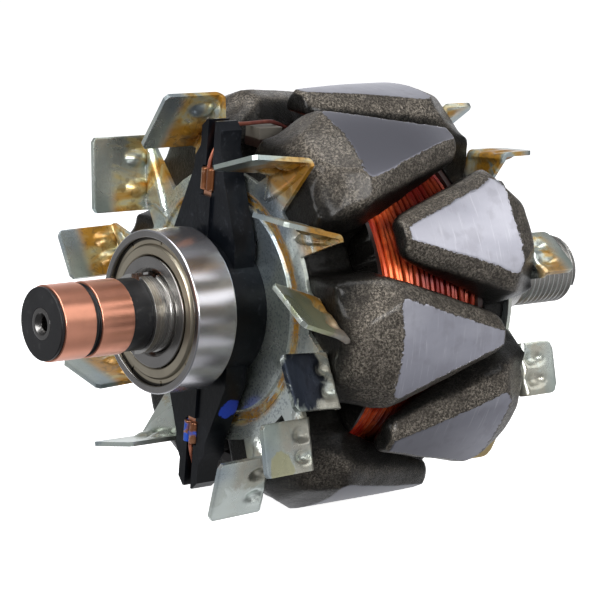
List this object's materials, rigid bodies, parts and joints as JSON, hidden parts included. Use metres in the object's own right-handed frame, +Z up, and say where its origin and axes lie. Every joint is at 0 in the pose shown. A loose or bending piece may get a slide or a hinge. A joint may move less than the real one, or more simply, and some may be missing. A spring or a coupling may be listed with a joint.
{
  "type": "alternator rotor",
  "caption": "Claw-pole alternator rotor on a shaft, with slip rings, a ball bearing, a cooling fan on each side and a threaded pulley end.",
  "frame": {"origin": "on the shaft's axis, at the shoulder where the drive-end bearing's journal starts", "axes": "+X along the shaft towards the pulley thread, +Z up through the rotor's top as it lies in the picture"},
  "size_m": [0.146, 0.092, 0.092],
  "materials": {
    "steel_shaft": "turned and ground steel, lightly oiled",
    "slip_ring_moulding": "black moulded thermoset",
    "slip_ring_copper": "polished copper with fine turning marks",
    "lead_copper": "bare copper strip",
    "bearing_steel": "ground bearing steel",
    "bearing_shield": "pressed steel shield, slightly yellow with grease",
    "bearing_ball": "polished bearing steel",
    "guide_moulding": "dark blue-grey moulded plastic",
    "crimp_copper": "tarnished copper",
    "winding_copper": "enamelled copper under red varnish",
    "fan_zinc": "zinc-plated sheet steel",
    "pole_steel": "forged steel, ground on the outer faces",
    "bobbin_plastic": "light grey moulded plastic",
    "spacer_steel": "turned steel"
  },
  "bodies": {
    "rotor": {"shaft": "steel_shaft", "slip_ring_body": "slip_ring_moulding", "slip_ring_outer": "slip_ring_copper", "slip_ring_inner": "slip_ring_copper", "lead_bar_a": "lead_copper", "lead_bar_b": "lead_copper", "bearing_inner_ring": "bearing_steel", "lead_guide": "guide_moulding", "terminal_a": "crimp_copper", "terminal_b": "crimp_copper", "coil_lead_a": "winding_copper", "coil_lead_b": "winding_copper", "front_fan": "fan_zinc", "rear_fan": "fan_zinc", "front_claw_pole": "pole_steel", "rear_claw_pole": "pole_steel", "pole_core": "pole_steel", "bobbin": "bobbin_plastic", "field_winding": "winding_copper", "drive_end_spacer": "spacer_steel"},
    "bearing_outer": {"bearing_outer_ring": "bearing_steel", "bearing_shield_front": "bearing_shield", "bearing_shield_rear": "bearing_shield"},
    "ball_set": {"bearing_balls": "bearing_ball", "bearing_cage": "bearing_steel"}
  },
  "joints": [
    {"name": "bearing_turn", "type": "hinge", "parent": "rotor", "child": "bearing_outer", "pos_m": [-0.0774, 0, 0], "axis": [1, 0, 0], "continuous": true},
    {"name": "cage_turn", "type": "hinge", "parent": "rotor", "child": "ball_set", "pos_m": [-0.0774, 0, 0], "axis": [1, 0, 0], "continuous": true}
  ],
  "couplings": [
    {"joint": "cage_turn", "follows": "bearing_turn", "ratio": 0.5916}
  ]
}
